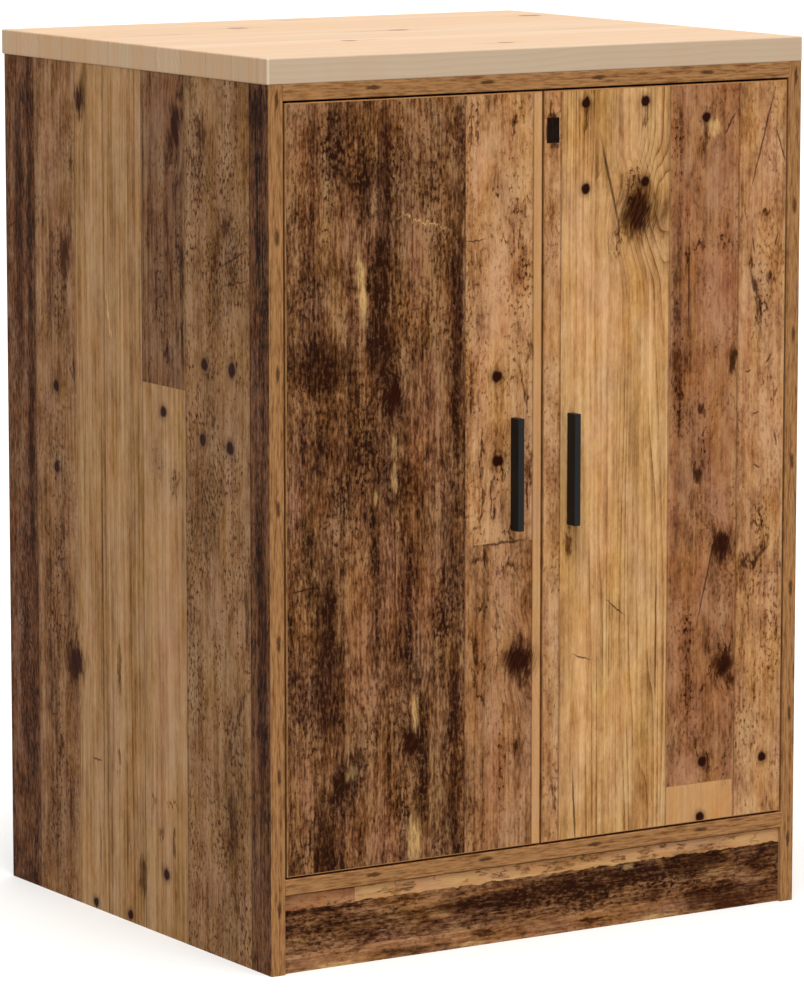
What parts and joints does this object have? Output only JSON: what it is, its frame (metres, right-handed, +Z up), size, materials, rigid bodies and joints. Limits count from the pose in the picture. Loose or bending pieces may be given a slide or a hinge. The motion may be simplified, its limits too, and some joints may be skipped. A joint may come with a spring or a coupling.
{
  "type": "garage storage cabinet",
  "caption": "Floor-standing wooden cabinet with inset hinged double doors, slim bar pulls, an inner shelf, a plinth and a solid pine worktop, for storing tools and supplies.",
  "frame": {"origin": "on the floor, under the middle of the whole object's box, handles included", "axes": "+Z up, the doors face -Y, +X to the right as seen from the front"},
  "size_m": [0.6, 0.523, 0.85],
  "materials": {
    "printed_board": "matt printed paper of old mixed planks on chipboard",
    "edge_band": "matt wood-print edging",
    "pine": "smooth clear-oiled pine",
    "hardboard": "smooth hardboard",
    "beech": "raw fluted beech",
    "black_metal": "satin black powder coat",
    "plated_steel": "nickel-plated steel",
    "zinc_alloy": "cast zinc alloy",
    "brown_plastic": "matt dark brown plastic",
    "magnet": "grey ferrite"
  },
  "bodies": {
    "carcass": {"back_board": "hardboard", "back_board_nails": "plated_steel", "bottom_board": "printed_board", "bottom_edge_band": "edge_band", "cam_bolts": "plated_steel", "cam_locks": "zinc_alloy", "catch_housing": "brown_plastic", "catch_magnets": "magnet", "catch_screws": "plated_steel", "hinge_arm_screws": "plated_steel", "hinge_plate_screws": "plated_steel", "left_lower_hinge_arm": "plated_steel", "left_lower_hinge_plate": "plated_steel", "left_side_board": "printed_board", "left_side_edge_band": "edge_band", "left_upper_hinge_arm": "plated_steel", "left_upper_hinge_plate": "plated_steel", "plinth": "printed_board", "right_lower_hinge_arm": "plated_steel", "right_lower_hinge_plate": "plated_steel", "right_side_board": "printed_board", "right_side_edge_band": "edge_band", "right_upper_hinge_arm": "plated_steel", "right_upper_hinge_plate": "plated_steel", "shelf": "printed_board", "shelf_edge_band": "edge_band", "shelf_pins": "plated_steel", "top_board": "printed_board", "top_edge_band": "edge_band", "wood_dowels": "beech", "worktop": "pine", "worktop_screws": "plated_steel"},
    "left_door": {"left_door_board": "printed_board", "left_door_edge_bands": "edge_band", "left_handle": "black_metal", "left_handle_screws": "plated_steel", "left_hinge_cup_screws": "plated_steel", "left_lower_hinge_cup": "plated_steel", "left_lower_hinge_pin": "plated_steel", "left_strike": "plated_steel", "left_strike_screw": "plated_steel", "left_upper_hinge_cup": "plated_steel", "left_upper_hinge_pin": "plated_steel"},
    "right_door": {"right_door_board": "printed_board", "right_door_edge_bands": "edge_band", "right_handle": "black_metal", "right_handle_screws": "plated_steel", "right_hinge_cup_screws": "plated_steel", "right_lower_hinge_cup": "plated_steel", "right_lower_hinge_pin": "plated_steel", "right_strike": "plated_steel", "right_strike_screw": "plated_steel", "right_upper_hinge_cup": "plated_steel", "right_upper_hinge_pin": "plated_steel"}
  },
  "joints": [
    {"name": "left_door_swing", "type": "hinge", "parent": "carcass", "child": "left_door", "pos_m": [-0.26383, -0.2402, 0.4505], "axis": [0, 0, -1], "range_deg": [0, 95]},
    {"name": "right_door_swing", "type": "hinge", "parent": "carcass", "child": "right_door", "pos_m": [0.26383, -0.2402, 0.4505], "axis": [0, 0, 1], "range_deg": [0, 95]}
  ]
}
